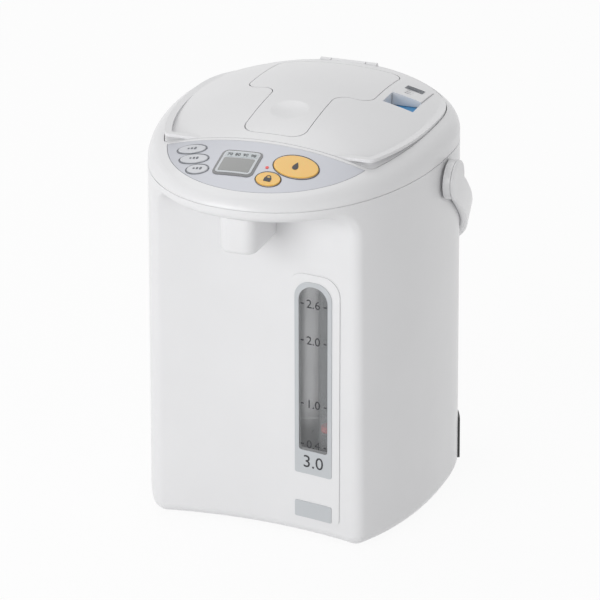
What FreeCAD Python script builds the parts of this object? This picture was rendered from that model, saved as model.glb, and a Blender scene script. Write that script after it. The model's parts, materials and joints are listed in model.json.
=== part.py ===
import FreeCAD, Part
import os
from math import cos, sin, pi, radians, asin, sqrt, copysign

# Electric thermo pot, millimetres, +Z up, front towards -Y.
# The shapes are drawn about the centre of the body's oval, and every node
# is moved by frameShift at the end, so the box of the whole is centred.

V = FreeCAD.Vector

# Body: an egg-shaped oval that narrows upwards
bodyHalfWidth = 99.5
bodyFrontReach = 147.5
bodyBackReach = 81.0
ovalPower = 2.2
bodyTaper = 4.3 / 310
shellBottom = 2.0
seamHeight = 242.0
wall = 2.6
bottomRound = 10.0
seamGroove = 0.6

# Recess in the front face, below the beak
recessRadius = 304.0
recessFace = -100.6
recessTop = 233.5
recessCove = 14.0
recessRound = 8.0

# Top: a barrel-shaped crown
crownHeight = 276.0
crownAcross = 240.0
crownAlong = 370.0
crownRim = 12.0

# Lid, cut out of the crown
lidInset = 11.0
lidBackPower = 2.6
lidFront = -84.3
lidCorner = 6.0
lidGap = 0.5
lidSkirtInset = 3.0
lidPanBottom = 242.35
lidPanThick = 2.0
lidRingBottom = 260.0
hingeY = 68.0
hingeZ = 267.6
pinRadius = 1.25
knuckleRadius = 2.9
knuckleHalf = 12.0
runningFit = 0.05
clearance = 0.4

# Push plate of the air pump
tongueHalf = 20.5
tongueFront = -76.5
plateHalf = 43.0
plateWideFront = -12.0
plateBack = 55.0
plateCorner = 10.0
plateTravel = 10.0
latchHalf = 10.0
latchBottom = 247.0
latchTop = 251.0
plateSkirt = latchTop + plateTravel + 0.5
bellowsBottom = 244.65
bellowsTop = 268.0
bellowsY = 21.5
bellowsRadius = 29.0
bellowsFold = 5.0
bellowsWall = 1.2
bellowsFolds = 5
springRadius = 13.0
springWire = 0.9
springTurns = 4

# Lock slider in the lid's right rear
sliderX = (48.5, 69.0)
sliderY = (-3.0, 41.5)
sliderFloor = 262.2
sliderLength = 26.0
sliderRise = 0.8

# Control panel, a lens flush with the crown
lensRadius = 70.0
lensApex = -134.0
lensBack = -87.4
panelThick = 2.2
panelGap = 0.3
buttonGap = 0.3
buttonRise = 0.7
buttonFlange = 0.6
buttonFoot = 4.4
boardDrop = 11.0
boardPlan = (-4.0, -107.0, 84.0, 22.0)
lensLip = 1.2
buttonPlan = {
    "pour_button": (27.3, -104.4, 14.3, 10.4),
    "lock_button": (15.0, -120.4, 7.8, 6.2),
    "timer_button": (-45.2, -96.8, 9.6, 4.4),
    "reboil_button": (-39.6, -107.2, 9.6, 4.4),
    "select_button": (-33.2, -117.4, 7.2, 4.2),
}
lcdCentre = (-9.2, -110.0)
lcdSize = (27.0, 25.0)
lcdRound = 4.0

# Water: vessel, pump and sight tube
vesselY = -9.0
vesselRadius = 75.5
vesselWall = 0.8
vesselBottom = 50.0
vesselTop = 236.0
flangeRadius = 83.0
neckRadius = 68.0
mouthRadius = 75.0
gasketOuter = 72.5
bowlRadius = 64.0
legRadius = 58.0
pumpX = 42.0
pumpY = -60.0
pumpRadius = 17.0
tubeX = 43.0
tubeY = -91.5
tubeRadius = 5.5
tubeBore = 4.0
tubeBottom = 52.0
tubeTop = 205.0
floatRest = 74.0
floatHeight = 5.0
hoseRadius = 3.6
hoseBore = 2.6
suctionStart = (24.0, -40.0)
housingBottom = 20.0
housingTop = 38.0
outletZ = 29.0

# Water gauge on the recess face: centre x, half width, bottom, top
gaugeX = 38.4
frameOutline = (18.6, 16.0, 188.0)
plateOutline = (13.1, 48.0, 183.0)
lensOutline = (10.2, 64.8, 180.0)
frameRise = 0.8
labelRise = 0.5

# Spout nose under the beak
noseHalf = 12.5
noseFront = -138.0
noseBottom = 209.5
nozzleY = -124.0
nozzleRadius = 5.0
nozzleBore = 3.5

# Swivel base
swivelY = -15.0
swivelRadius = 70.0
footHeight = 2.0
swivelTop = 4.2
plateBottom = 4.6
plateTop = 7.2
spigotRadius = 14.0

# Screws: x, y, then how far the rib of each boss reaches to the wall
screwPlaces = [(76.0, -20.0, 21.0, 1.5), (46.0, 46.0, 1.5, 28.0)]
screwRadius = 1.5

# Power board on its posts
boardZ = 14.0
boardX = (-36.0, 22.0)
boardY = (-26.0, 26.0)

# Carrying handle and its hubs
hubY = -14.0
hubZ = 228.0
hubRadius = 13.0
hubPin = 5.0
hubReach = 104.2
handleDroop = 39.0
handleReach = 138.0
handleHalf = 102.2
handleThick = 7.0
handleArm = 4.8
handleWidth = 20.0
handlePower = 2.7

# Mains inlet at the right rear
inletAngle = 33.0
inletHalf = 20.0
inletTop = 38.0
inletRise = 1.5
inletDepth = 16.0

handleBack = hubY + handleReach * cos(radians(handleDroop)) + handleWidth / 2 * sin(radians(handleDroop))
frontMost = bodyFrontReach - bodyTaper * seamHeight
frameShift = (frontMost - handleBack) / 2


def box(x0, x1, y0, y1, z0, z1):
    return Part.makeBox(x1 - x0, y1 - y0, z1 - z0, V(x0, y0, z0))


def rod(radius, z0, z1, x=0.0, y=0.0):
    return Part.makeCylinder(radius, z1 - z0, V(x, y, z0))


def tube(outer, inner, z0, z1, x=0.0, y=0.0):
    return rod(outer, z0, z1, x, y).cut(rod(inner, z0 - 1, z1 + 1, x, y))


def join(shapes):
    first = shapes[0]
    for other in shapes[1:]:
        first = first.fuse(other)
    return first


def roundEdges(shape, radius, wanted):
    edges = [edge for edge in shape.Edges if wanted(edge)]
    return shape.makeFillet(radius, edges)


def ovalWire(inset, z, backPower=ovalPower):
    total = inset + bodyTaper * z
    points = []
    count = 56
    for step in range(count):
        angle = 2 * pi * (step + 0.5) / count
        c, s = cos(angle), sin(angle)
        reach = bodyFrontReach if s < 0 else bodyBackReach
        power = ovalPower if s < 0 else backPower
        x = (bodyHalfWidth - total) * copysign(abs(c) ** (2 / power), c)
        y = (reach - total) * copysign(abs(s) ** (2 / power), s)
        points.append(V(x, y, z))
    curve = Part.BSplineCurve()
    curve.interpolate(Points=points, PeriodicFlag=True)
    return Part.Wire([curve.toShape()])


def ovalLoft(inset, z0, z1):
    return Part.makeLoft([ovalWire(inset, z0), ovalWire(inset, z1)], True, True)


def ovalPrism(inset, z0, z1, outlineZ=seamHeight, backPower=ovalPower):
    face = Part.Face(ovalWire(inset, outlineZ, backPower))
    face.translate(V(0, 0, z0 - outlineZ))
    return face.extrude(V(0, 0, z1 - z0))


def recessCutter(extra):
    axisY = recessFace - recessRadius
    cutter = rod(recessRadius + extra, -5, recessTop + extra, 0, axisY)
    cove = recessCove
    return roundEdges(cutter, cove, lambda e: e.BoundBox.ZMin > recessTop - 1)


def recessSkin(near, far):
    axisY = recessFace - recessRadius
    return tube(recessRadius - near, recessRadius - far, 0, 210, 0, axisY)


def onBoundary(edge, inset):
    if edge.BoundBox.ZMax < 20 and edge.BoundBox.ZLength < 2:
        return False
    middle = edge.valueAt((edge.FirstParameter + edge.LastParameter) / 2)
    if middle.z > 250 or middle.z < shellBottom + 4 or middle.y > recessFace + 2:
        return False
    total = inset + bodyTaper * middle.z
    rho = (abs(middle.x) / (bodyHalfWidth - total)) ** ovalPower
    rho += (abs(middle.y) / (bodyFrontReach - total)) ** ovalPower
    return abs(rho - 1) < 0.02


def bodySolid(inset, bottom):
    solid = ovalLoft(inset, bottom, 262)
    edgeRound = bottomRound - inset
    solid = roundEdges(solid, edgeRound, lambda e: e.BoundBox.ZMax < bottom + 0.1)
    solid = solid.cut(recessCutter(inset))
    return roundEdges(solid, recessRound - inset, lambda e: onBoundary(e, inset))


def crownFan(drop):
    across = crownAcross - drop
    half = 112.0
    side = crownHeight - drop - across + sqrt(across ** 2 - half ** 2)
    low = crownHeight - crownAlong + 296
    top = Part.Arc(V(-half, 0, side), V(0, 0, crownHeight - drop), V(half, 0, side))
    edges = [
        top.toShape(),
        Part.makeLine(V(half, 0, side), V(half, 0, low)),
        Part.makeLine(V(half, 0, low), V(-half, 0, low)),
        Part.makeLine(V(-half, 0, low), V(-half, 0, side)),
    ]
    face = Part.Face(Part.Wire(edges))
    axisZ = crownHeight - crownAlong
    face.rotate(V(0, 0, axisZ), V(1, 0, 0), 32)
    return face.revolve(V(0, 0, axisZ), V(1, 0, 0), -64)


def crownSolid(inset):
    solid = ovalLoft(inset, seamHeight, 300).common(crownFan(inset))
    rim = crownRim - inset
    return roundEdges(solid, rim, lambda e: e.BoundBox.ZMax > seamHeight + 1 and e.Length > 300)


def lidPrism(grow, z0, z1):
    prism = ovalPrism(lidInset - grow, z0, z1, seamHeight, lidBackPower)
    prism = prism.common(box(-150, 150, lidFront - grow, 150, z0 - 1, z1 + 1))
    corner = lidCorner + grow

    def upright(edge):
        return edge.BoundBox.ZLength > (z1 - z0) * 0.9 and edge.BoundBox.YMax < lidFront - grow + 2

    return roundEdges(prism, corner, upright)


def platePrism(grow, z0, z1):
    wide = box(-plateHalf - grow, plateHalf + grow, plateWideFront - grow, plateBack + grow, z0, z1)
    tongue = box(-tongueHalf - grow, tongueHalf + grow, tongueFront - grow, 20, z0, z1)
    plate = wide.fuse(tongue).removeSplitter()

    def upright(edge):
        return edge.BoundBox.ZLength > (z1 - z0) * 0.9

    return roundEdges(plate, plateCorner, upright)


def lensPrism(grow, z0, z1):
    round_ = rod(lensRadius + grow, z0, z1, 0, lensApex + lensRadius)
    back = box(-150, 150, -200, lensBack + grow, z0 - 1, z1 + 1)
    return round_.common(back)


def crownZ(x, y):
    along = crownAlong - sqrt(crownAlong ** 2 - y ** 2)
    return crownHeight - along - (crownAcross - sqrt(crownAcross ** 2 - x ** 2))


def onCrown(shape, x, y):
    # turns a shape drawn about the origin square to the crown at x, y
    slopeX = x / sqrt(crownAcross ** 2 - x ** 2)
    slopeY = y / sqrt(crownAlong ** 2 - y ** 2)
    shape.Placement = FreeCAD.Placement(V(x, y, crownZ(x, y)),
                                        FreeCAD.Rotation(V(0, 0, 1), V(slopeX, slopeY, 1)))
    return shape


def ovalRod(x, y, a, b, low, high):
    ellipse = Part.Ellipse(V(0, 0, 0), a, b)
    face = Part.Face(Part.Wire([ellipse.toShape()]))
    face.translate(V(0, 0, low))
    return onCrown(face.extrude(V(0, 0, high - low)), x, y)


def panelBox(x, y, sizeX, sizeY, low, high, corner=0.0):
    block = box(-sizeX / 2, sizeX / 2, -sizeY / 2, sizeY / 2, low, high)
    if corner:
        block = roundEdges(block, corner, lambda e: e.BoundBox.ZLength > (high - low) * 0.9)
    return onCrown(block, x, y)


def slotBlock(half, bottom, top, y0, y1, topRound, bottomRound_):
    block = box(gaugeX - half, gaugeX + half, y0, y1, bottom, top)

    def along(edge):
        return edge.BoundBox.YLength > (y1 - y0) * 0.9

    upper = [e for e in block.Edges if along(e) and e.BoundBox.ZMin > top - 1]
    block = block.makeFillet(topRound, upper)
    lower = [e for e in block.Edges if along(e) and e.BoundBox.ZMax < bottom + 1]
    return block.makeFillet(bottomRound_, lower)


def hose(points, outer, inner):
    curve = Part.BSplineCurve()
    curve.interpolate(Points=[V(*p) for p in points])
    path = Part.Wire([curve.toShape()])
    start = curve.value(curve.FirstParameter)
    direction = curve.tangent(curve.FirstParameter)[0]
    solids = []
    for radius in (outer, inner):
        ring = Part.Wire([Part.makeCircle(radius, start, direction)])
        solids.append(path.makePipeShell([ring], True, True))
    return solids[0].cut(solids[1])


def makeBody():
    outer = bodySolid(0.0, shellBottom)
    below = box(-150, 150, -200, 150, -5, seamHeight)
    outer = outer.common(below)
    void = bodySolid(wall, plateBottom)
    shell = outer.cut(void)
    mouth = ovalPrism(16, -5, plateBottom + 1, 0).cut(recessCutter(11))
    shell = shell.cut(mouth)
    shell = shell.cut(slotBlock(lensOutline[0] + 0.1, lensOutline[1] - 0.1, lensOutline[2] + 0.1,
                                -120, -90, 10.0, 2.0))
    shell = shell.cut(rod(nozzleRadius + 0.2, noseBottom, seamHeight, 0, nozzleY))
    shell = join([shell] + screwBosses())
    for side in (-1, 1):
        hole = Part.makeCylinder(hubPin, 20, V(side * 104, hubY, hubZ), V(-side, 0, 0))
        shell = shell.cut(hole)
    shell = shell.cut(inletZone(0.0))
    return shell


def inletZone(rise):
    # the curved sector of the wall that holds the mains inlet
    block = box(-inletDepth, 30, -inletHalf, inletHalf, plateTop + 0.3, inletTop)
    block = roundEdges(block, 4.0, lambda e: e.BoundBox.XLength > 20)
    block.rotate(V(0, 0, 0), V(0, 0, 1), inletAngle)
    block.translate(V(inletPoint()[0], inletPoint()[1], 0))
    return block.common(ovalLoft(-rise, 2, 60))


def inletPoint():
    angle = radians(inletAngle)
    ratio = (sin(angle) * bodyBackReach / (cos(angle) * bodyHalfWidth)) ** (1 / (ovalPower - 1))
    x = (1 / (1 + ratio ** ovalPower)) ** (1 / ovalPower)
    return (bodyHalfWidth * x, bodyBackReach * x * ratio)


def save(name, shape):
    shape = shape.copy()
    shape.translate(V(0, frameShift, 0))
    shape.exportStep("parts/" + name + ".step")
    print(name, len(shape.Solids), round(shape.Volume), shape.isValid())


def screwBosses():
    bosses = []
    for x, y, ribX, ribY in screwPlaces:
        for side in (-1, 1):
            post = rod(4.5, plateTop, 18, side * x, y)
            rib = box(x - 1.5, x + ribX, y - 1.5, y + ribY, plateTop, 18)
            if side < 0:
                rib = rib.mirror(V(0, 0, 0), V(1, 0, 0))
            boss = post.fuse(rib).common(ovalLoft(1.0, 4, 30))
            bosses.append(boss.cut(rod(screwRadius, 4, 15, side * x, y)))
    return bosses


def makeBottomPlate():
    plate = ovalPrism(bottomRound + 2.5, plateBottom, plateTop, 0).cut(recessCutter(wall + 6.5))
    plate = plate.cut(rod(spigotRadius + runningFit, 0, 20, 0, swivelY))
    posts = [rod(2.5, plateTop, boardZ, x, y) for x in boardX for y in boardY]
    plate = join([plate] + posts)
    for x, y, ribX, ribY in screwPlaces:
        for side in (-1, 1):
            plate = plate.cut(rod(screwRadius, 0, 20, side * x, y))
    return plate


def makePowerBoard():
    board = box(-40, 26, -30, 30, boardZ, boardZ + 1.6)
    top = boardZ + 1.6
    transformer = box(-34, -12, -20, 4, top, top + 16)
    relay = box(-6, 8, -18, 2, top, top + 12)
    capacitors = [rod(4, top, top + 12, x, 16) for x in (-28, -18)]
    return join([board, transformer, relay] + capacitors)


def makeScrews():
    screws = []
    for x, y, ribX, ribY in screwPlaces:
        for side in (-1, 1):
            head = rod(3.4, 3.0, plateBottom, side * x, y)
            shank = rod(screwRadius, plateBottom, 15, side * x, y)
            screws.append(head.fuse(shank).removeSplitter())
    return Part.makeCompound(screws)


def makeSwivel():
    disc = rod(swivelRadius, footHeight, swivelTop, 0, swivelY)
    disc = roundEdges(disc, 0.8, lambda e: e.BoundBox.ZMin > swivelTop - 0.1)
    spigot = rod(spigotRadius, footHeight, 9.6, 0, swivelY)
    return join([disc, spigot])


def makeFeet():
    feet = []
    for step in range(4):
        angle = pi / 4 + step * pi / 2
        reach = swivelRadius - 10
        feet.append(rod(7, 0, footHeight, reach * cos(angle), swivelY + reach * sin(angle)))
    return Part.makeCompound(feet)


def makeInlet():
    block = inletZone(inletRise)
    socket = box(-inletDepth + 4, 30, -13, 13, 14, 30)
    socket = roundEdges(socket, 3.0, lambda e: e.BoundBox.XLength > 20)
    return block.cut(atInlet(socket))


def atInlet(shape):
    shape.rotate(V(0, 0, 0), V(0, 0, 1), inletAngle)
    shape.translate(V(inletPoint()[0], inletPoint()[1], 0))
    return shape


def makePins():
    pins = []
    for side in (-5.5, 5.5):
        pin = Part.makeCylinder(1.8, 9, V(-inletDepth + 4, side, 22), V(1, 0, 0))
        pins.append(atInlet(roundEdges(pin, 0.8, lambda e: e.BoundBox.XMin > -inletDepth + 12)))
    return Part.makeCompound(pins)


def makeVessel():
    side = tube(vesselRadius, vesselRadius - vesselWall, vesselBottom, vesselTop, 0, vesselY)
    floor = rod(vesselRadius, vesselBottom, vesselBottom + vesselWall, 0, vesselY)
    flange = tube(flangeRadius, neckRadius, vesselTop - 1.5, vesselTop, 0, vesselY)
    return join([side, floor, flange]).cut(rod(hoseBore, 45, 55, *suctionStart))


def makeStand():
    ring = tube(legRadius + 2, legRadius - 2, vesselBottom - 1.5, vesselBottom, 0, vesselY)
    legs = []
    for angle in (90, 210, 330):
        x = legRadius * cos(radians(angle))
        y = vesselY + legRadius * sin(radians(angle))
        legs.append(rod(4, plateTop, vesselBottom, x, y))
    return join([ring] + legs)


def makeHousing():
    outer = rod(pumpRadius, housingBottom, housingTop, pumpX, pumpY)
    outer = outer.cut(rod(pumpRadius - 2.5, housingBottom + 2, housingTop - 2, pumpX, pumpY))
    outer = outer.cut(rod(hoseBore, housingTop - 3, housingTop + 1, pumpX, pumpY))
    port = Part.makeCylinder(hoseBore, 6, V(pumpX, pumpY - pumpRadius - 1, outletZ), V(0, 1, 0))
    return outer.cut(port)


def makeImpeller():
    base = housingBottom + 2 + clearance
    disc = rod(13, base, base + 2, pumpX, pumpY)
    hub = rod(4, base, base + 8, pumpX, pumpY)
    blades = []
    for step in range(6):
        blade = box(2, 12.5, -0.8, 0.8, base + 1, base + 7)
        blade.rotate(V(0, 0, 0), V(0, 0, 1), step * 60)
        blade.translate(V(pumpX, pumpY, 0))
        blades.append(blade)
    return join([disc, hub] + blades)


def makeSuctionHose():
    x, y = suctionStart
    points = [(x, y, vesselBottom), (x + 0.6, y - 1, 46), (33, -50, 43.6),
              (pumpX - 0.6, pumpY + 1, 42), (pumpX, pumpY, housingTop)]
    return hose(points, hoseRadius, hoseBore).cut(rod(60, vesselBottom, 60)).cut(
        rod(20, 30, housingTop, pumpX, pumpY))


def makeOutletHose():
    port = pumpY - pumpRadius
    points = [(pumpX, port, outletZ), (pumpX + 0.2, port - 6, outletZ + 0.8),
              (tubeX - 0.2, tubeY + 2, 38), (tubeX, tubeY, 45), (tubeX, tubeY, tubeBottom)]
    shape = hose(points, hoseRadius, hoseBore)
    shape = shape.cut(rod(pumpRadius, 20, 40, pumpX, pumpY))
    return shape.cut(rod(8, tubeBottom, 60, tubeX, tubeY))


def makeRiser():
    points = [(tubeX, tubeY, tubeTop), (tubeX, tubeY, 222), (tubeX - 4, tubeY - 4, 235),
              (27, -106, 240.4), (11, -118, 240.8), (2.2, nozzleY + 0.8, 240.2), (0, nozzleY, 236.6)]
    shape = hose(points, hoseRadius, hoseBore)
    return shape.cut(rod(8, 190, tubeTop, tubeX, tubeY)).cut(rod(8, 230, 236.6, 0, nozzleY))


def makeFloat():
    ball = rod(tubeBore - 0.3, floatRest, floatRest + floatHeight, tubeX, tubeY)
    return roundEdges(ball, 1.2, lambda e: e.BoundBox.ZLength < 0.1)


def makeGaugeFrame():
    half, bottom, top = frameOutline
    slab = slotBlock(half, bottom, top, -140, -90, 12.0, 3.0)
    slab = slab.common(recessSkin(0.0, frameRise))
    return slab.cut(slotBlock(lensOutline[0], lensOutline[1], lensOutline[2], -140, -90, 10.0, 2.0))


def makeGaugePlate():
    half, bottom, top = plateOutline
    slab = slotBlock(half, bottom, top, -140, -90, 11.0, 1.5)
    slab = slab.fuse(slotBlock(half, 15.9, 27.5, -140, -90, 1.0, 1.0))
    slab = slab.common(recessSkin(frameRise, frameRise + labelRise))
    return slab.cut(slotBlock(lensOutline[0], lensOutline[1], lensOutline[2], -140, -90, 10.0, 2.0))


def makeGaugeLens():
    lens = slotBlock(lensOutline[0] - 0.1, lensOutline[1] + 0.1, lensOutline[2] - 0.1, -140, -90, 9.9, 1.9)
    window = lens.common(recessSkin(-wall, frameRise + 0.2))
    backing = slotBlock(lensOutline[0] + 1.5, lensOutline[1] - 1.5, lensOutline[2] + 1.5, -140, -90, 10.5, 3.0)
    return window.fuse(backing.common(recessSkin(-wall - 1.2, -wall))).removeSplitter()


def makeSpout():
    nose = box(-noseHalf, noseHalf, noseFront, -90, noseBottom, recessTop + 3)
    nose = roundEdges(nose, 8.0, lambda e: e.BoundBox.ZLength > 20 and e.BoundBox.YMax < noseFront + 1)
    nose = roundEdges(nose, 4.0, lambda e: e.BoundBox.ZMax < noseBottom + 0.1 and e.BoundBox.YMin < -92)
    nose = nose.common(recessCutter(0.0))
    nose = nose.cut(rod(nozzleRadius, noseBottom - 1, seamHeight, 0, nozzleY))
    return nose.cut(rod(nozzleRadius + 3, noseBottom - 1, noseBottom + 4, 0, nozzleY))


def makeShoulder(crown, inner):
    shell = crown.cut(inner).cut(lidPrism(lidGap, 236, 300)).cut(lensPrism(panelGap, 236, 300))
    groove = ovalPrism(-1, seamHeight, seamHeight + seamGroove)
    groove = groove.cut(ovalPrism(seamGroove, seamHeight - 1, seamHeight + 2))
    shell = shell.cut(groove)
    wellWall = lidPrism(lidGap + 2, vesselTop, 300).cut(lidPrism(lidGap, 230, 310))
    wellWall = wellWall.common(crownFan(1.0))
    floor = lidPrism(lidGap + 1, vesselTop, vesselTop + 2.5).cut(rod(mouthRadius, 230, 250, 0, vesselY))
    lip = lensPrism(3.0, 236, 300).cut(lensPrism(-lensLip, 230, 310))
    lip = lip.common(crownFan(panelThick).cut(crownFan(panelThick + 1.6)))
    lip = lip.cut(lidPrism(lidGap + 1, 230, 310))
    shoulder = join([shell, wellWall, floor, lip])
    shoulder = shoulder.cut(box(-12.4, 12.4, 58, 72.5, 263.5, 290))
    for side in (-1, 1):
        knuckle = Part.makeCylinder(knuckleRadius, 7.5, V(side * 12.5, hingeY, hingeZ), V(side, 0, 0))
        shoulder = shoulder.fuse(knuckle)
    shoulder = shoulder.cut(crossRod(pinRadius, 21))
    return shoulder


def crossRod(radius, half):
    return Part.makeCylinder(radius, 2 * half, V(-half, hingeY, hingeZ), V(1, 0, 0))


def makePanel(crown):
    panel = crown.cut(crownFan(panelThick)).common(lensPrism(0.0, 236, 300))
    for x, y, a, b in buttonPlan.values():
        panel = panel.cut(ovalRod(x, y, a + buttonGap, b + buttonGap, -6, 4))
    x, y = lcdCentre
    panel = panel.cut(panelBox(x, y, lcdSize[0], lcdSize[1], -8, 4, lcdRound))
    for x, y in ((8.2, -99.0), (-26.2, -112.0)):
        post = ovalRod(x, y, 1.7, 1.6, -boardDrop - 1, -1.0)
        panel = panel.fuse(post.cut(boardBlock(6.0)))
    return panel


def boardBlock(thick=1.6):
    x, y, sizeX, sizeY = boardPlan
    return panelBox(x, y, sizeX, sizeY, -boardDrop - thick, -boardDrop)


def makeButton(x, y, a, b):
    cap = ovalRod(x, y, a, b, -buttonFoot, 4).common(crownFan(-buttonRise))
    cap = roundEdges(cap, 0.6, lambda e: e.BoundBox.ZMin > crownZ(x, y) - 4.2 and e.Length > 2 * (a + b))
    flange = ovalRod(x, y, a + buttonFlange, b + buttonFlange, -buttonFoot, -panelThick - 0.6)
    return cap.fuse(flange)


def makeLcdWindow():
    x, y = lcdCentre
    block = panelBox(x, y, lcdSize[0], lcdSize[1], -panelThick, 3, lcdRound)
    return block.common(crownFan(-0.3))


def makeLcdModule():
    x, y = lcdCentre
    module = panelBox(x, y, lcdSize[0] - 3, lcdSize[1] - 3, -boardDrop - 1, -panelThick - 0.2)
    return module.cut(boardBlock(6.0))


def makeLidOuter(crown, inner):
    shell = crown.cut(inner).common(lidPrism(0.0, 250, 300))
    ring = lidPrism(0.0, lidRingBottom, 300).cut(lidPrism(-wall, 250, 310)).common(crownFan(1.0))
    seat = lidPrism(0.0, lidRingBottom, lidRingBottom + 2).cut(lidPrism(-4.5, 250, 310))
    well = platePrism(lidGap + 1.6, lidRingBottom + 0.5, 300).cut(platePrism(lidGap, 250, 310))
    well = well.common(crownFan(1.0)).common(lidPrism(-1.0, 250, 310))
    x0, x1 = sliderX
    y0, y1 = sliderY
    tray = box(x0 - 1.5, x1 + 1.5, y0 - 1.5, y1 + 1.5, sliderFloor - 1.6, 290).common(crownFan(1.0))
    tray = tray.common(lidPrism(-1.0, 250, 310))
    knuckle = Part.makeCylinder(knuckleRadius, 2 * knuckleHalf, V(-knuckleHalf, hingeY, hingeZ), V(1, 0, 0))
    web = box(-knuckleHalf, knuckleHalf, 63, hingeY, hingeZ - knuckleRadius, hingeZ)
    lid = join([shell, ring, seat, well, tray, knuckle, web])
    lid = lid.cut(platePrism(lidGap, 250, 300))
    lid = lid.cut(box(x0, x1, y0, y1, sliderFloor, 290)).cut(crossRod(pinRadius + runningFit, 21))
    for side in (-1, 1):
        gap = Part.makeCylinder(knuckleRadius + 0.5, 8.4, V(side * 12.2, hingeY, hingeZ), V(side, 0, 0))
        lid = lid.cut(gap)
    return lid


def makeLidBase():
    pan = lidPrism(-lidSkirtInset, lidPanBottom, lidPanBottom + lidPanThick)
    side = lidPrism(-lidSkirtInset, lidPanBottom, lidRingBottom - 0.1)
    side = side.cut(lidPrism(-lidSkirtInset - 2, 230, 300)).common(crownFan(wall + 0.1))
    base = join([pan, side])
    half = latchHalf + clearance
    return base.cut(box(-half, half, -90, -70, latchBottom - clearance, latchTop + clearance))


def makeInnerCover():
    top = vesselTop + 4.35
    disc = rod(73, top, lidPanBottom, 0, vesselY)
    bowl = tube(bowlRadius, bowlRadius - 1.5, 229, top, 0, vesselY)
    floor = rod(bowlRadius, 229, 230.5, 0, vesselY)
    cover = join([disc, bowl, floor])
    for step in range(8):
        angle = step * pi / 4
        hole = rod(3, 225, 232, 30 * cos(angle), vesselY + 30 * sin(angle))
        cover = cover.cut(hole)
    return cover


def makeGasket():
    low = vesselTop + 0.35
    return tube(gasketOuter, bowlRadius, low, low + 4.0, 0, vesselY)


def makeLatch():
    bolt = box(-latchHalf, latchHalf, -82.6, -58, latchBottom, latchTop)
    return roundEdges(bolt, 1.5, lambda e: e.BoundBox.YMax < -82 and e.BoundBox.XLength > 15)


def makePushPlate(crown, inner):
    plate = crown.cut(crownFan(wall)).common(platePrism(0.0, 250, 300))
    skirt = platePrism(0.0, plateSkirt, 300).cut(platePrism(-1.8, 250, 310)).common(crownFan(1.0))
    boss = rod(22, bellowsTop, 290, 0, bellowsY).common(crownFan(1.0))
    dimple = Part.makeSphere(70, V(0, -52, crownZ(0, -52) + 69.2))
    return join([plate, skirt, boss]).cut(dimple)


def bellowsSolid(inset):
    pitch = (bellowsTop - bellowsBottom) / bellowsFolds
    valley = bellowsRadius - bellowsFold - inset
    points = [V(0, 0, bellowsBottom), V(valley, 0, bellowsBottom)]
    for fold in range(bellowsFolds):
        points.append(V(bellowsRadius - inset, 0, bellowsBottom + pitch * (fold + 0.5)))
        points.append(V(valley, 0, bellowsBottom + pitch * (fold + 1)))
    points += [V(0, 0, bellowsTop), V(0, 0, bellowsBottom)]
    return Part.Face(Part.makePolygon(points)).revolve(V(0, 0, 0), V(0, 0, 1), 360)


def makeBellows():
    core = rod(40, bellowsBottom + bellowsWall, bellowsTop - bellowsWall)
    bellows = bellowsSolid(0.0).cut(bellowsSolid(2 * bellowsWall).common(core))
    bellows.translate(V(0, bellowsY, 0))
    return bellows


def makeSpring():
    low = bellowsBottom + bellowsWall + springWire
    rise = bellowsTop - bellowsWall - springWire - low
    slope = V(0, 2 * pi * springRadius * springTurns, rise)
    end = Part.Wire([Part.makeCircle(springWire, V(springRadius, 0, 0), slope)])
    steps = springTurns * 14
    rings = []
    for step in range(steps + 1):
        ring = end.copy()
        ring.rotate(V(0, 0, 0), V(0, 0, 1), 360 * springTurns * step / steps)
        ring.translate(V(0, bellowsY, low + rise * step / steps))
        rings.append(ring)
    return Part.makeLoft(rings, True, True)


def makeSlider():
    x0, x1 = sliderX
    y1 = sliderY[1] - clearance
    block = box(x0 + clearance, x1 - clearance, y1 - sliderLength, y1, sliderFloor + 0.5, 290)
    block = block.common(crownFan(-sliderRise))
    for step in range(5):
        y = y1 - 7 - step * 3.2
        block = block.cut(Part.makeCylinder(0.9, 16, V((x0 + x1) / 2 - 8, y, crownZ(60, y) + 1.2), V(1, 0, 0)))
    return block


def makeSliderLabel():
    x0, x1 = sliderX
    y0 = sliderY[0]
    return box(x0 + 1, x1 - 1, y0 + 1, y0 + 18.5, sliderFloor, sliderFloor + 0.2)


def bandFace(half, reach):
    points = []
    count = 40
    for step in range(count + 1):
        angle = pi * step / count
        c, s = cos(angle), sin(angle)
        x = half * copysign(abs(c) ** (2 / handlePower), c)
        points.append(V(x, reach * abs(s) ** (2 / handlePower), 0))
    curve = Part.BSplineCurve()
    curve.interpolate(Points=points)
    close = Part.makeLine(V(-half, 0, 0), V(half, 0, 0))
    return Part.Face(Part.Wire([curve.toShape(), close]))


def makeHandle():
    half = handleWidth / 2
    outer = bandFace(handleHalf, handleReach).extrude(V(0, 0, handleWidth))
    inner = bandFace(handleHalf - handleArm, handleReach - handleThick).extrude(V(0, 0, handleWidth))
    band = outer.cut(inner)
    band.translate(V(0, 0, -half))
    band = roundEdges(band, 2.2, lambda e: e.Length > 100)
    for side in (-1, 1):
        x = side * (handleHalf - handleArm)
        disc = Part.makeCylinder(hubRadius, handleArm, V(x, 0, 0), V(side, 0, 0))
        band = band.fuse(disc)
    band = band.cut(Part.makeCylinder(hubPin + runningFit, 240, V(-120, 0, 0), V(1, 0, 0)))
    band = band.removeSplitter()
    band.rotate(V(0, 0, 0), V(1, 0, 0), -handleDroop)
    band.translate(V(0, hubY, hubZ))
    return band


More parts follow.
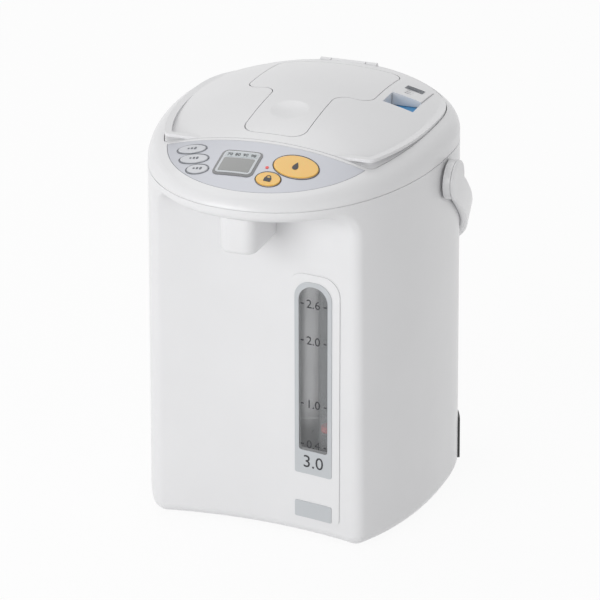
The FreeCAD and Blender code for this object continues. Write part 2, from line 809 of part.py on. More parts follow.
def makeHub(side):
    pin = Part.makeCylinder(hubPin, hubReach - 90, V(side * 90, hubY, hubZ), V(side, 0, 0))
    head = Part.makeCylinder(hubRadius, hubReach - handleHalf - 0.3, V(side * (handleHalf + 0.3), hubY, hubZ),
                             V(side, 0, 0))
    head = roundEdges(head, 1.2, lambda e: abs(e.BoundBox.XMin + e.BoundBox.XMax) / 2 > hubReach - 0.2
                      and e.BoundBox.XLength < 0.1)
    inside = Part.makeCylinder(hubPin + 3, 3, V(side * 90, hubY, hubZ), V(side, 0, 0))
    return join([pin, head, inside])


def save(name, shape):
    shape = shape.copy()
    shape.translate(V(0, frameShift, 0))
    shape.exportStep("parts/" + name + ".step")
    print(name, len(shape.Solids), round(shape.Volume), shape.isValid())


os.makedirs("parts", exist_ok=True)
crown = crownSolid(0.0)
crownInner = crownSolid(wall)
save("swivel_base", makeSwivel())
save("rubber_feet", makeFeet())
save("swivel_ring", tube(18, spigotRadius, 7.6, 9.6, 0, swivelY))
save("body_shell", makeBody())
save("bottom_plate", makeBottomPlate())
save("base_screws", makeScrews())
save("power_inlet", makeInlet())
save("inlet_pins", makePins())
save("power_board", makePowerBoard())
save("vessel_stand", makeStand())
save("inner_container", makeVessel())
save("heater_band", tube(vesselRadius + 2, vesselRadius, 54, 76, 0, vesselY))
save("thermistor", rod(6, 43, vesselBottom, -25, vesselY))
save("pump_motor", rod(13, plateTop, housingBottom, pumpX, pumpY))
save("pump_housing", makeHousing())
save("impeller", makeImpeller())
save("suction_hose", makeSuctionHose())
save("outlet_hose", makeOutletHose())
save("sight_tube", tube(tubeRadius, tubeBore, tubeBottom, tubeTop, tubeX, tubeY))
save("gauge_float", makeFloat())
save("riser_hose", makeRiser())
save("gauge_frame", makeGaugeFrame())
save("gauge_plate", makeGaugePlate())
save("gauge_lens", makeGaugeLens())
save("spout_cover", makeSpout())
save("pour_nozzle", tube(nozzleRadius, nozzleBore, noseBottom + 1.5, 236.6, 0, nozzleY))
save("shoulder_ring", makeShoulder(crown, crownInner))
save("control_panel", makePanel(crown))
save("control_board", boardBlock())
save("lcd_window", makeLcdWindow())
save("lcd_module", makeLcdModule())
for name, plan in buttonPlan.items():
    save(name, makeButton(*plan))
save("lid_outer", makeLidOuter(crown, crownInner))
save("lid_base", makeLidBase())
save("lid_inner_cover", makeInnerCover())
save("lid_gasket", makeGasket())
save("lid_latch", makeLatch())
save("steam_valve", tube(7, 4, lidPanBottom + lidPanThick, 254, -56, 25))
save("hinge_pin", crossRod(pinRadius, 20))
save("push_plate", makePushPlate(crown, crownInner))
save("air_bellows", makeBellows())
save("pump_spring", makeSpring())
save("lock_slider", makeSlider())
save("slider_label", makeSliderLabel())
save("carry_handle", makeHandle())
save("handle_hub_left", makeHub(-1))
save("handle_hub_right", makeHub(1))
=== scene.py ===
import bpy
import bmesh
import json
from math import cos, sin, pi, radians, sqrt
from mathutils import Matrix, Vector


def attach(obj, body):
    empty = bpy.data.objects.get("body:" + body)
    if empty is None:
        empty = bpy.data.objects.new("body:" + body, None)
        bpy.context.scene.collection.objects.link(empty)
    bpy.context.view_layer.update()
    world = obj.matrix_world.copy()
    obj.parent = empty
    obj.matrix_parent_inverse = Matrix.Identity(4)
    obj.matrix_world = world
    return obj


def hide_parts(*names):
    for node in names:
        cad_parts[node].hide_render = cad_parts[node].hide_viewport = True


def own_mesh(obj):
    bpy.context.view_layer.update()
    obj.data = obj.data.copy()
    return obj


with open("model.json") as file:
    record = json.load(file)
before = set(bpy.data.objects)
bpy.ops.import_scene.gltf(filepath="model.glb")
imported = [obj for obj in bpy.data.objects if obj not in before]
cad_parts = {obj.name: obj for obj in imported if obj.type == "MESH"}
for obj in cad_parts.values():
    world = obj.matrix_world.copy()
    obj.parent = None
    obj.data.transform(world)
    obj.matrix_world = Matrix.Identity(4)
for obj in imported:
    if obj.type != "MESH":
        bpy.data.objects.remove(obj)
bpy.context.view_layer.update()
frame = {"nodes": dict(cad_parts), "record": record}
nodes = frame["nodes"]
mm = 0.001

# The part's own shapes, repeated here in millimetres
frameShift = 22.302
crown = {"height": 276.0, "across": 240.0, "along": 370.0}
recess = {"radius": 304.0, "face": -100.6}


def crownPoint(x, y, rise=0.0):
    along = crown["along"] - sqrt(crown["along"] ** 2 - y ** 2)
    across = crown["across"] - sqrt(crown["across"] ** 2 - x ** 2)
    lean = y / crown["along"]
    z = crown["height"] - along - across
    return Vector((x, y + lean * rise + frameShift, z + rise)) * mm


def recessPoint(x, z, rise=0.0):
    axisY = recess["face"] - recess["radius"]
    y = axisY + sqrt(recess["radius"] ** 2 - x ** 2) - rise
    return Vector((x, y + frameShift, z)) * mm


# Materials: the values that each kind of surface starts from
moulded = {"grain": 900, "bump": 0.06, "drift": 18, "spread": 0.012, "rough": 0.28}
grainNoise = {"detail": 4.0, "rough": 0.55, "depth": 0.00005}
driftNoise = {"detail": 2.0, "low": 0.3, "high": 0.7, "glossSpread": 0.12}
brushing = {"scale": 400, "roughLow": 0.22, "roughHigh": 0.42, "bump": 0.15, "depth": 0.00005}
clearing = {"grain": 300, "bump": 0.02, "ior": 1.49, "scale": 40, "roughLow": 0.04, "roughHigh": 0.09}
milkDepth = 0.002


def newMaterial(name):
    material = bpy.data.materials.new(name)
    material.use_nodes = True
    shader = material.node_tree.nodes["Principled BSDF"]
    return material, material.node_tree, shader


def addBump(tree, shader, settings):
    coords = tree.nodes.new("ShaderNodeTexCoord")
    noise = tree.nodes.new("ShaderNodeTexNoise")
    noise.inputs["Scale"].default_value = settings["grain"]
    noise.inputs["Detail"].default_value = grainNoise["detail"]
    noise.inputs["Roughness"].default_value = grainNoise["rough"]
    bump = tree.nodes.new("ShaderNodeBump")
    bump.inputs["Strength"].default_value = settings["bump"]
    bump.inputs["Distance"].default_value = grainNoise["depth"]
    tree.links.new(coords.outputs["Object"], noise.inputs["Vector"])
    tree.links.new(noise.outputs["Fac"], bump.inputs["Height"])
    tree.links.new(bump.outputs["Normal"], shader.inputs["Normal"])
    return coords


def addVariation(tree, shader, coords, settings):
    # slow drift of tone and of gloss, as on moulded parts that have been handled
    drift = tree.nodes.new("ShaderNodeTexNoise")
    drift.inputs["Scale"].default_value = settings["drift"]
    drift.inputs["Detail"].default_value = driftNoise["detail"]
    tree.links.new(coords.outputs["Object"], drift.inputs["Vector"])
    tone = tree.nodes.new("ShaderNodeValToRGB")
    base = settings["color"]
    spread = settings["spread"]
    tone.color_ramp.elements[0].position = driftNoise["low"]
    tone.color_ramp.elements[1].position = driftNoise["high"]
    tone.color_ramp.elements[0].color = [c * (1 - spread) for c in base] + [1]
    tone.color_ramp.elements[1].color = [min(1, c * (1 + spread)) for c in base] + [1]
    tree.links.new(drift.outputs["Fac"], tone.inputs["Fac"])
    tree.links.new(tone.outputs["Color"], shader.inputs["Base Color"])
    gloss = tree.nodes.new("ShaderNodeMapRange")
    gloss.inputs["To Min"].default_value = settings["rough"] * (1 - driftNoise["glossSpread"])
    gloss.inputs["To Max"].default_value = settings["rough"] * (1 + driftNoise["glossSpread"])
    tree.links.new(drift.outputs["Fac"], gloss.inputs["Value"])
    tree.links.new(gloss.outputs["Result"], shader.inputs["Roughness"])


def plastic(name, **settings):
    values = {**moulded, **settings}
    material, tree, shader = newMaterial(name)
    shader.inputs["Metallic"].default_value = values.get("metallic", 0.0)
    shader.inputs["Coat Weight"].default_value = values.get("coat", 0.0)
    shader.inputs["Coat Roughness"].default_value = values.get("coatRough", 0.1)
    shader.inputs["Transmission Weight"].default_value = values.get("through", 0.0)
    shader.inputs["Subsurface Weight"].default_value = values.get("milky", 0.0)
    shader.inputs["Subsurface Scale"].default_value = milkDepth
    coords = addBump(tree, shader, values)
    addVariation(tree, shader, coords, values)
    return material


def brushed(name, color, stretch):
    material, tree, shader = newMaterial(name)
    shader.inputs["Base Color"].default_value = color + (1,)
    shader.inputs["Metallic"].default_value = 1.0
    coords = tree.nodes.new("ShaderNodeTexCoord")
    mapping = tree.nodes.new("ShaderNodeMapping")
    mapping.inputs["Scale"].default_value = stretch
    noise = tree.nodes.new("ShaderNodeTexNoise")
    noise.inputs["Scale"].default_value = brushing["scale"]
    rough = tree.nodes.new("ShaderNodeMapRange")
    rough.inputs["To Min"].default_value = brushing["roughLow"]
    rough.inputs["To Max"].default_value = brushing["roughHigh"]
    bump = tree.nodes.new("ShaderNodeBump")
    bump.inputs["Strength"].default_value = brushing["bump"]
    bump.inputs["Distance"].default_value = brushing["depth"]
    tree.links.new(coords.outputs["Object"], mapping.inputs["Vector"])
    tree.links.new(mapping.outputs["Vector"], noise.inputs["Vector"])
    tree.links.new(noise.outputs["Fac"], rough.inputs["Value"])
    tree.links.new(rough.outputs["Result"], shader.inputs["Roughness"])
    tree.links.new(noise.outputs["Fac"], bump.inputs["Height"])
    tree.links.new(bump.outputs["Normal"], shader.inputs["Normal"])
    return material


def clearPlastic(name, color, alpha):
    material, tree, shader = newMaterial(name)
    shader.inputs["Base Color"].default_value = color + (1,)
    shader.inputs["Alpha"].default_value = alpha
    shader.inputs["IOR"].default_value = clearing["ior"]
    addBump(tree, shader, clearing)
    noise = tree.nodes.new("ShaderNodeTexNoise")
    noise.inputs["Scale"].default_value = clearing["scale"]
    rough = tree.nodes.new("ShaderNodeMapRange")
    rough.inputs["To Min"].default_value = clearing["roughLow"]
    rough.inputs["To Max"].default_value = clearing["roughHigh"]
    tree.links.new(noise.outputs["Fac"], rough.inputs["Value"])
    tree.links.new(rough.outputs["Result"], shader.inputs["Roughness"])
    return material


print("materials")
white = plastic("whiteGloss", color=(0.77, 0.77, 0.78), rough=0.32, coat=0.18, coatRough=0.12)
whiteSatin = plastic("whiteSatin", color=(0.74, 0.74, 0.75), rough=0.38, bump=0.12)
silver = plastic("panelSilver", color=(0.52, 0.53, 0.57), rough=0.40, metallic=0.25,
                 grain=2600, bump=0.18)
amber = plastic("amberKey", color=(0.86, 0.52, 0.12), rough=0.32, coat=0.25, milky=0.2, spread=0.03)
pill = plastic("silverKey", color=(0.60, 0.61, 0.64), rough=0.30, coat=0.25)
dark = plastic("satinBlack", color=(0.018, 0.018, 0.02), rough=0.42, bump=0.2, grain=1500)
display = plastic("displayFrame", color=(0.05, 0.053, 0.06), rough=0.12, coat=0.8, coatRough=0.03)
glassGrey = plastic("displayGlass", color=(0.17, 0.175, 0.17), rough=0.16, coat=0.7, coatRough=0.04)
glassPale = plastic("displayPale", color=(0.40, 0.44, 0.46), rough=0.16, coat=0.7, coatRough=0.04)
ink = plastic("printInk", color=(0.03, 0.03, 0.035), rough=0.45)
inkGrey = plastic("greyInk", color=(0.16, 0.17, 0.19), rough=0.45)
labelGrey = plastic("gaugeLabel", color=(0.52, 0.54, 0.56), rough=0.36, metallic=0.15,
                    grain=2400, bump=0.15)
red = plastic("floatRed", color=(0.80, 0.03, 0.02), rough=0.3, coat=0.3)
blue = plastic("blueFilm", color=(0.05, 0.29, 0.60), rough=0.3, spread=0.03)
greyBase = plastic("baseGrey", color=(0.10, 0.105, 0.115), rough=0.5, bump=0.3, grain=1400)
rubber = plastic("footRubber", color=(0.02, 0.02, 0.02), rough=0.7, bump=0.4, grain=1000)
silicone = plastic("silicone", color=(0.62, 0.59, 0.53), rough=0.4, milky=0.3)
board = plastic("circuitBoard", color=(0.02, 0.12, 0.05), rough=0.4, spread=0.1)
steel = brushed("brushedSteel", (0.62, 0.62, 0.63), (1, 1, 0.04))
bright = brushed("brightMetal", (0.72, 0.72, 0.72), (0.3, 1, 1))
brass = brushed("brassPins", (0.72, 0.50, 0.20), (1, 0.2, 1))
clear = clearPlastic("clearWindow", (0.40, 0.41, 0.42), 0.20)
clearTube = clearPlastic("clearTube", (0.86, 0.90, 0.92), 0.13)

# Shading of the CAD nodes: a merged, smooth copy stands for each visible one
shading = {"merge": 0.00001, "angle": 32, "weight": 80}
nodeMaterials = {
    "body_shell": white, "shoulder_ring": white, "lid_outer": white, "push_plate": white,
    "lock_slider": white, "carry_handle": white, "handle_hub_left": white, "handle_hub_right": white,
    "spout_cover": white, "gauge_frame": white, "lid_base": whiteSatin, "control_panel": silver,
    "pour_button": amber, "lock_button": amber, "timer_button": pill, "reboil_button": pill,
    "select_button": pill, "lcd_window": display, "lcd_module": dark, "control_board": board,
    "gauge_plate": labelGrey, "gauge_lens": clear, "sight_tube": clearTube, "gauge_float": red,
    "power_inlet": dark, "inlet_pins": brass, "slider_label": blue, "bottom_plate": greyBase,
    "swivel_base": greyBase, "swivel_ring": greyBase, "rubber_feet": rubber, "base_screws": bright,
    "pour_nozzle": steel, "inner_container": steel, "lid_inner_cover": steel, "lid_gasket": silicone,
    "lid_latch": greyBase, "steam_valve": greyBase, "hinge_pin": bright, "air_bellows": silicone,
    "pump_spring": bright, "suction_hose": silicone, "outlet_hose": silicone, "riser_hose": silicone,
    "power_board": board, "vessel_stand": greyBase, "heater_band": bright, "thermistor": bright,
    "pump_motor": bright, "pump_housing": dark, "impeller": greyBase,
}
bodies = frame["record"]["behaviour"]["bodies"]
bodyOf = {node: body for body, names in bodies.items() for node in names}


def linkObject(name, mesh):
    obj = bpy.data.objects.new(name, mesh)
    bpy.context.collection.objects.link(obj)
    return obj


def smoothByAngle(mesh, angle):
    if "custom_normal" in mesh.attributes:
        mesh.attributes.remove(mesh.attributes["custom_normal"])
    mesh.shade_smooth()
    mesh.set_sharp_from_angle(angle=radians(angle))


def applyModifiers(obj):
    graph = bpy.context.evaluated_depsgraph_get()
    mesh = bpy.data.meshes.new_from_object(obj.evaluated_get(graph))
    obj.modifiers.clear()
    obj.data = mesh
    return obj


def smoothNode(name, material):
    mesh = nodes[name].data.copy()
    work = bmesh.new()
    work.from_mesh(mesh)
    bmesh.ops.remove_doubles(work, verts=work.verts, dist=shading["merge"])
    work.to_mesh(mesh)
    work.free()
    smoothByAngle(mesh, shading["angle"])
    mesh.materials.clear()
    mesh.materials.append(material)
    obj = linkObject(name + "Smooth", mesh)
    weighted = obj.modifiers.new("weights", "WEIGHTED_NORMAL")
    weighted.keep_sharp = True
    weighted.weight = shading["weight"]
    applyModifiers(obj)
    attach(obj, bodyOf[name])
    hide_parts(name)
    return obj


print("smooth copies")
smooth = {name: smoothNode(name, material) for name, material in nodeMaterials.items()}

# The bellows and its spring hang from the push plate; each gets a mesh of its own
for name in ("air_bellows", "pump_spring"):
    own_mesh(smooth[name])

# Printed marks: flat outlines laid on the crown or on the recess face
marks = {"rise": 0.12, "depth": 0.25, "grid": 3.0, "weld": 0.001}


def polygonMesh(name, loops):
    work = bmesh.new()
    for outline in loops:
        verts = [work.verts.new((p[0], p[1], 0)) for p in outline]
        work.faces.new(verts)
    mesh = bpy.data.meshes.new(name)
    work.to_mesh(mesh)
    work.free()
    return mesh


def ringMesh(name, outer, inner):
    work = bmesh.new()
    outerVerts = [work.verts.new((p[0], p[1], 0)) for p in outer]
    innerVerts = [work.verts.new((p[0], p[1], 0)) for p in inner]
    count = len(outer)
    for i in range(count):
        j = (i + 1) % count
        work.faces.new((outerVerts[i], outerVerts[j], innerVerts[j], innerVerts[i]))
    mesh = bpy.data.meshes.new(name)
    work.to_mesh(mesh)
    work.free()
    return mesh


def ellipsePoints(x, y, a, b, count=48):
    return [(x + a * cos(2 * pi * i / count), y + b * sin(2 * pi * i / count)) for i in range(count)]


def roundedBox(x, y, width, height, radius, count=6):
    points = []
    corners = ((1, 1, 0), (-1, 1, 90), (-1, -1, 180), (1, -1, 270))
    for sideX, sideY, start in corners:
        cx = x + sideX * (width / 2 - radius)
        cy = y + sideY * (height / 2 - radius)
        for step in range(count + 1):
            angle = radians(start + 90 * step / count)
            points.append((cx + radius * cos(angle), cy + radius * sin(angle)))
    return points


def layOn(mesh, place, rise, depth):
    # cuts a flat mesh along a grid, so that it follows the surface, and gives it a thickness
    work = bmesh.new()
    work.from_mesh(mesh)
    for axis in (0, 1):
        places = [vert.co[axis] for vert in work.verts]
        direction = Vector((1 - axis, axis, 0))
        cut = min(places) + marks["grid"]
        while cut < max(places):
            parts = list(work.verts) + list(work.edges) + list(work.faces)
            bmesh.ops.bisect_plane(work, geom=parts, plane_co=direction * cut, plane_no=direction)
            cut += marks["grid"]
    bmesh.ops.triangulate(work, faces=work.faces)
    low = [(v, v.co.x, v.co.y) for v in work.verts]
    top = {}
    for vert, x, y in low:
        top[vert] = work.verts.new(place(x, y, rise))
    faces = list(work.faces)
    boundary = [edge for edge in work.edges if len(edge.link_faces) == 1]
    for face in faces:
        work.faces.new([top[v] for v in face.verts])
    for edge in boundary:
        a, b = edge.verts
        work.faces.new((a, b, top[b], top[a]))
    for vert, x, y in low:
        vert.co = place(x, y, rise - depth)
    bmesh.ops.recalc_face_normals(work, faces=work.faces)
    work.to_mesh(mesh)
    work.free()
    return mesh


def mark(name, mesh, place, material, body, rise=marks["rise"]):
    layOn(mesh, place, rise, marks["depth"])
    mesh.materials.clear()
    mesh.materials.append(material)
    obj = linkObject(name, mesh)
    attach(obj, body)
    return obj


def wordMesh(text, size, x, y):
    curve = bpy.data.curves.new("word", "FONT")
    curve.body = text
    curve.size = size
    curve.align_x = "CENTER"
    curve.align_y = "CENTER"
    curve.resolution_u = 3
    holder = linkObject("word", curve)
    graph = bpy.context.evaluated_depsgraph_get()
    mesh = bpy.data.meshes.new_from_object(holder.evaluated_get(graph))
    bpy.data.objects.remove(holder)
    for vert in mesh.vertices:
        vert.co.x += x
        vert.co.y += y
    work = bmesh.new()
    work.from_mesh(mesh)
    bmesh.ops.remove_doubles(work, verts=work.verts, dist=marks["weld"])
    work.to_mesh(mesh)
    work.free()
    return mesh


# Geometry Nodes: a row of equal bars, laid along one direction
def barRowTree(name, material):
    tree = bpy.data.node_groups.new(name, "GeometryNodeTree")
    face = tree.interface
    face.new_socket("Geometry", in_out="OUTPUT", socket_type="NodeSocketGeometry")
    for socket, kind in (("Count", "NodeSocketInt"), ("Start", "NodeSocketVector"),
                         ("Step", "NodeSocketVector"), ("Bar Size", "NodeSocketVector")):
        face.new_socket(socket, in_out="INPUT", socket_type=kind)
    given = tree.nodes.new("NodeGroupInput")
    result = tree.nodes.new("NodeGroupOutput")
    line = tree.nodes.new("GeometryNodeMeshLine")
    bar = tree.nodes.new("GeometryNodeMeshCube")
    bar.inputs["Vertices X"].default_value = 4
    place = tree.nodes.new("GeometryNodeInstanceOnPoints")
    real = tree.nodes.new("GeometryNodeRealizeInstances")
    paint = tree.nodes.new("GeometryNodeSetMaterial")
    paint.inputs["Material"].default_value = material
    link = tree.links.new
    link(given.outputs["Count"], line.inputs["Count"])
    link(given.outputs["Start"], line.inputs["Start Location"])
    link(given.outputs["Step"], line.inputs["Offset"])
    link(given.outputs["Bar Size"], bar.inputs["Size"])
    link(line.outputs["Mesh"], place.inputs["Points"])
    link(bar.outputs["Mesh"], place.inputs["Instance"])
    link(place.outputs["Instances"], real.inputs["Geometry"])
    link(real.outputs["Geometry"], paint.inputs["Geometry"])
    link(paint.outputs["Geometry"], result.inputs["Geometry"])
    return tree


def barRow(name, material, body, values):
    holder = linkObject(name, bpy.data.meshes.new(name))
    modifier = holder.modifiers.new("row", "NODES")
    modifier.node_group = barRowTree(name + "Tree", material)
    for item in modifier.node_group.interface.items_tree:
        if item.in_out == "INPUT":
            modifier[item.identifier] = values[item.name]
    applyModifiers(holder)
    bend = values.get("bend")
    if bend:
        for vert in holder.data.vertices:
            vert.co = bend(vert.co)
    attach(holder, body)
    return holder


# Water gauge: numbers and marks on the window, the capacity on the plate below it
print("gauge")
gauge = {
    "x": 38.4, "levels": {"2.6": 167.8, "2.0": 142.5, "1.0": 98.0, "0.4": 69.2},
    "numberSize": 8.2, "dashLeft": 30.6, "dashRight": 46.9, "dashLength": 2.3, "dashHeight": 0.75,
    "dashRound": 0.3, "capacity": ("3.0", 56.6, 12.4), "windowFace": 1.0, "plateFace": 1.3,
}


def onPlate(x, z, rise):
    return recessPoint(x, z, gauge["plateFace"] + rise)


def onWindow(x, z, rise):
    return recessPoint(x, z, gauge["windowFace"] + rise)


for label, height in gauge["levels"].items():
    ending = label.replace(".", "_")
    number = wordMesh(label, gauge["numberSize"], gauge["x"], height)
    mark("gaugeNumber" + ending, number, onWindow, ink, "pot")
    dashes = [roundedBox(x, height, gauge["dashLength"], gauge["dashHeight"], gauge["dashRound"], 2)
              for x in (gauge["dashLeft"], gauge["dashRight"])]
    mark("gaugeDashes" + ending, polygonMesh("dashes", dashes), onWindow, ink, "pot")
text, height, size = gauge["capacity"]
mark("gaugeCapacity", wordMesh(text, size, gauge["x"], height), onPlate, ink, "pot")

# Control panel: display, outlines round the keys, small icons instead of words
print("panel")
keyPlan = {
    "pour": (27.3, -104.4, 14.3, 10.4, ink), "lock": (15.0, -120.4, 7.8, 6.2, ink),
    "timer": (-45.2, -96.8, 9.6, 4.4, inkGrey), "reboil": (-39.6, -107.2, 9.6, 4.4, inkGrey),
    "select": (-33.2, -117.4, 7.2, 4.2, inkGrey),
}
keyRing = {"gap": 0.3, "width": 0.42}
for key, (x, y, a, b, material) in keyPlan.items():
    inside = keyRing["gap"]
    outside = keyRing["gap"] + keyRing["width"]
    inner = ellipsePoints(x, y, a + inside, b + inside)
    outer = ellipsePoints(x, y, a + outside, b + outside)
    mark(key + "Outline", ringMesh(key, outer, inner), crownPoint, material, "pot")

lcd = {
    "x": -9.2, "y": -110.0, "rise": 0.45, "layer": 0.12,
    "bezel": (0.6, 23.6, 20.6, 2.4), "pane": (-2.0, 20.4, 12.4, 0.8), "strip": (7.3, 21.4, 4.6, 0.6),
    "digitSize": 3.6, "digitStart": -7.8, "digitStep": 5.2,
}


def displayLayer(name, plan, material, layers):
    up, width, height, radius = lcd[plan]
    shape = polygonMesh(plan, [roundedBox(lcd["x"], lcd["y"] + up, width, height, radius)])
    mark(name, shape, crownPoint, material, "pot", rise=lcd["rise"] + layers * lcd["layer"])


displayLayer("displayBezel", "bezel", labelGrey, 0)
displayLayer("displayPane", "pane", glassGrey, 1)
displayLayer("displayStrip", "strip", glassPale, 1)
for step, label in enumerate(("70", "80", "90", "98")):
    digitX = lcd["x"] + lcd["digitStart"] + lcd["digitStep"] * step
    digits = wordMesh(label, lcd["digitSize"], digitX, lcd["y"] + lcd["strip"][0])
    mark("displayScale" + label, digits, crownPoint, ink, "pot", rise=lcd["rise"] + 2 * lcd["layer"])

# Icons on the keys: a drop, a lock and rows of bars, and the light above the lock
icons = {
    "rise": 0.82, "dropHalf": 2.6, "dropReach": 3.6, "dropCount": 28,
    "lockWidth": 4.6, "lockHeight": 3.2, "lockRound": 0.5, "lockDrop": 1.0,
    "bowRise": 0.6, "bowOuter": (1.8, 2.2), "bowInner": (1.1, 1.5), "bowCount": 12,
    "barPitch": 2.3, "barWidth": 1.3, "barHeight": 1.5, "barGrowth": 0.5, "barRound": 0.3,
}
light = {"x": 10.6, "y": -110.6, "radius": 1.1, "rise": 0.3, "count": 20}


def icon(name, loops, key, material):
    mark(name, polygonMesh(name, loops), crownPoint, material, key + "_key", rise=icons["rise"])


def dropOutline(x, y):
    points = []
    for step in range(icons["dropCount"]):
        turn = 2 * pi * step / icons["dropCount"]
        swell = sin(turn) * sin(turn / 2) ** 1.5
        points.append((x + icons["dropHalf"] * swell, y + icons["dropReach"] * cos(turn)))
    return points


def bowOutline(x, y):
    turns = [pi * step / icons["bowCount"] for step in range(icons["bowCount"] + 1)]
    points = []
    for (a, b), order in ((icons["bowOuter"], turns), (icons["bowInner"], turns[::-1])):
        points += [(x + a * cos(turn), y + b * sin(turn)) for turn in order]
    return points


pourX, pourY = keyPlan["pour"][:2]
icon("pourIcon", [dropOutline(pourX, pourY)], "pour", ink)
lockX, lockY = keyPlan["lock"][:2]
lockBox = roundedBox(lockX, lockY - icons["lockDrop"],
                     icons["lockWidth"], icons["lockHeight"], icons["lockRound"])
icon("lockIcon", [lockBox], "lock", ink)
icon("lockBow", [bowOutline(lockX, lockY + icons["bowRise"])], "lock", ink)
for key in ("timer", "reboil", "select"):
    keyX, keyY = keyPlan[key][:2]
    bars = []
    for side in (-1, 0, 1):
        height = icons["barHeight"] + icons["barGrowth"] * side
        barX = keyX + icons["barPitch"] * side
        bars.append(roundedBox(barX, keyY, icons["barWidth"], height, icons["barRound"], 2))
    icon(key + "Icon", bars, key, inkGrey)
spot = ellipsePoints(light["x"], light["y"], light["radius"], light["radius"], light["count"])
mark("lockLight", polygonMesh("light", [spot]), crownPoint, red, "pot", rise=light["rise"])

# Lid: grip ribs on the lock slider
print("lid")
slider = {"x": 58.7, "back": 35.4, "pitch": -1.9, "count": 4, "rise": 0.75, "bar": (12.0, 0.8, 0.7)}


def ribBend(co):
    at = crownPoint(co.x / mm, co.y / mm - frameShift, slider["rise"])
    return Vector((co.x, co.y, at.z + co.z))


ribs = barRow("sliderRibs", inkGrey, "slider", {
    "Count": slider["count"], "Start": (slider["x"] * mm, (slider["back"] + frameShift) * mm, 0),
    "Step": (0, slider["pitch"] * mm, 0), "Bar Size": [side * mm for side in slider["bar"]],
    "bend": ribBend,
})

# Floor and light
print("stage")
stage = {"floorSize": 6.0, "floorTone": 0.90, "background": 1.0, "worldLight": 0.56, "glow": 0.92}


def cameraRayMix(tree, seen, other, output, socket):
    path = tree.nodes.new("ShaderNodeLightPath")
    first = tree.nodes.new("ShaderNodeMath")
    second = tree.nodes.new("ShaderNodeMath")
    first.operation = second.operation = "MAXIMUM"
    mix = tree.nodes.new("ShaderNodeMixShader")
    tree.links.new(path.outputs["Is Camera Ray"], first.inputs[0])
    tree.links.new(path.outputs["Is Glossy Ray"], first.inputs[1])
    tree.links.new(first.outputs[0], second.inputs[0])
    tree.links.new(path.outputs["Is Transmission Ray"], second.inputs[1])
    tree.links.new(second.outputs[0], mix.inputs["Fac"])
    tree.links.new(other, mix.inputs[1])
    tree.links.new(seen, mix.inputs[2])
    tree.links.new(mix.outputs["Shader"], output.inputs[socket])


def makeWorld():
    world = bpy.data.worlds.new("studio")
    bpy.context.scene.world = world
    world.use_nodes = True
    tree = world.node_tree
    tree.nodes.clear()
    output = tree.nodes.new("ShaderNodeOutputWorld")
    seen = tree.nodes.new("ShaderNodeBackground")
    lit = tree.nodes.new("ShaderNodeBackground")
    seen.inputs["Strength"].default_value = stage["background"]
    seen.inputs["Color"].default_value = (1, 1, 1, 1)
    lit.inputs["Color"].default_value = (1, 1, 1, 1)
    lit.inputs["Strength"].default_value = stage["worldLight"]
    cameraRayMix(tree, seen.outputs[0], lit.outputs[0], output, "Surface")


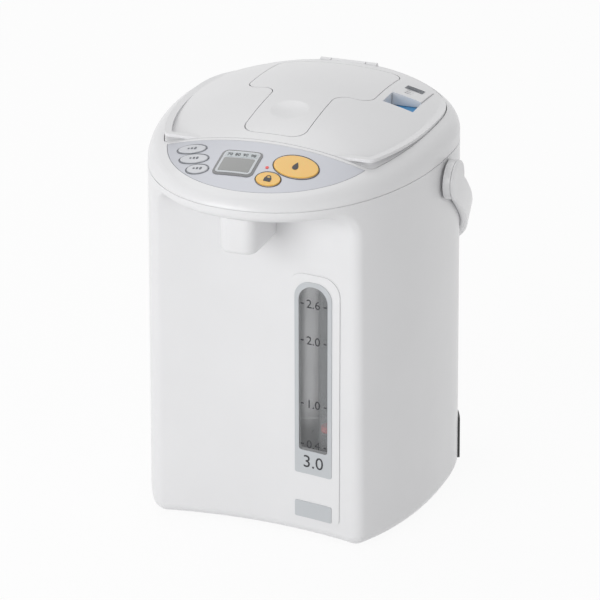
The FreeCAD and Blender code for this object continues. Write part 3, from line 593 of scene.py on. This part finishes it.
def makeFloor():
    size = stage["floorSize"] / 2
    mesh = bpy.data.meshes.new("floor")
    corners = [(-size, -size, 0), (size, -size, 0), (size, size, 0), (-size, size, 0)]
    mesh.from_pydata(corners, [], [(0, 1, 2, 3)])
    floor = linkObject("floor", mesh)
    material = bpy.data.materials.new("paleFloor")
    material.use_nodes = True
    tree = material.node_tree
    tree.nodes.clear()
    output = tree.nodes.new("ShaderNodeOutputMaterial")
    matt = tree.nodes.new("ShaderNodeBsdfDiffuse")
    glow = tree.nodes.new("ShaderNodeEmission")
    both = tree.nodes.new("ShaderNodeMixShader")
    tone = stage["floorTone"]
    matt.inputs["Color"].default_value = (tone, tone, tone, 1)
    both.inputs["Fac"].default_value = stage["glow"]
    tree.links.new(matt.outputs[0], both.inputs[1])
    tree.links.new(glow.outputs[0], both.inputs[2])
    cameraRayMix(tree, both.outputs[0], matt.outputs[0], output, "Surface")
    mesh.materials.append(material)


def makeLamp(name, place, target, size, power):
    lamp = bpy.data.lights.new(name, "AREA")
    lamp.shape = "DISK"
    lamp.size = size
    lamp.energy = power
    obj = bpy.data.objects.new(name, lamp)
    bpy.context.collection.objects.link(obj)
    obj.location = place
    obj.rotation_euler = (Vector(target) - Vector(place)).to_track_quat("-Z", "Y").to_euler()


lamps = {
    "key": {"place": (-0.8, -1.8, 0.65), "target": (0, 0, 0.15), "size": 1.4, "power": 17},
    "fill": {"place": (1.7, -0.7, 0.6), "target": (0, 0, 0.12), "size": 1.4, "power": 2.2},
    "top": {"place": (-0.5, 0.6, 1.7), "target": (0, 0, 0.2), "size": 1.4, "power": 5.5},
}
makeWorld()
makeFloor()
for lampName, lampSettings in lamps.items():
    makeLamp(lampName, **lampSettings)

# Camera, from the fit of the outline to the photograph
photo = {
    "turn": 20.4, "tilt": 23.0, "focal": 2620.0, "distance": 1.749, "width": 600.0,
    "aim": (0, frameShift * mm, 0.155), "aimPixel": (313.7, 255.0),
}


def makeCamera():
    turn, tilt = radians(photo["turn"]), radians(photo["tilt"])
    right = Vector((cos(turn), sin(turn), 0))
    up = Vector((-sin(turn) * sin(tilt), cos(turn) * sin(tilt), cos(tilt)))
    back = Vector((sin(turn) * cos(tilt), -cos(turn) * cos(tilt), sin(tilt)))
    data = bpy.data.cameras.new("photoCamera")
    data.lens = data.sensor_width * photo["focal"] / photo["width"]
    data.shift_x = (photo["width"] / 2 - photo["aimPixel"][0]) / photo["width"]
    data.shift_y = (photo["aimPixel"][1] - photo["width"] / 2) / photo["width"]
    camera = bpy.data.objects.new("photoCamera", data)
    bpy.context.collection.objects.link(camera)
    turned = Matrix((right, up, back)).transposed().to_4x4()
    turned.translation = Vector(photo["aim"]) + back * photo["distance"]
    camera.matrix_world = turned
    bpy.context.scene.camera = camera


makeCamera()
bpy.context.scene.view_settings.view_transform = "Standard"
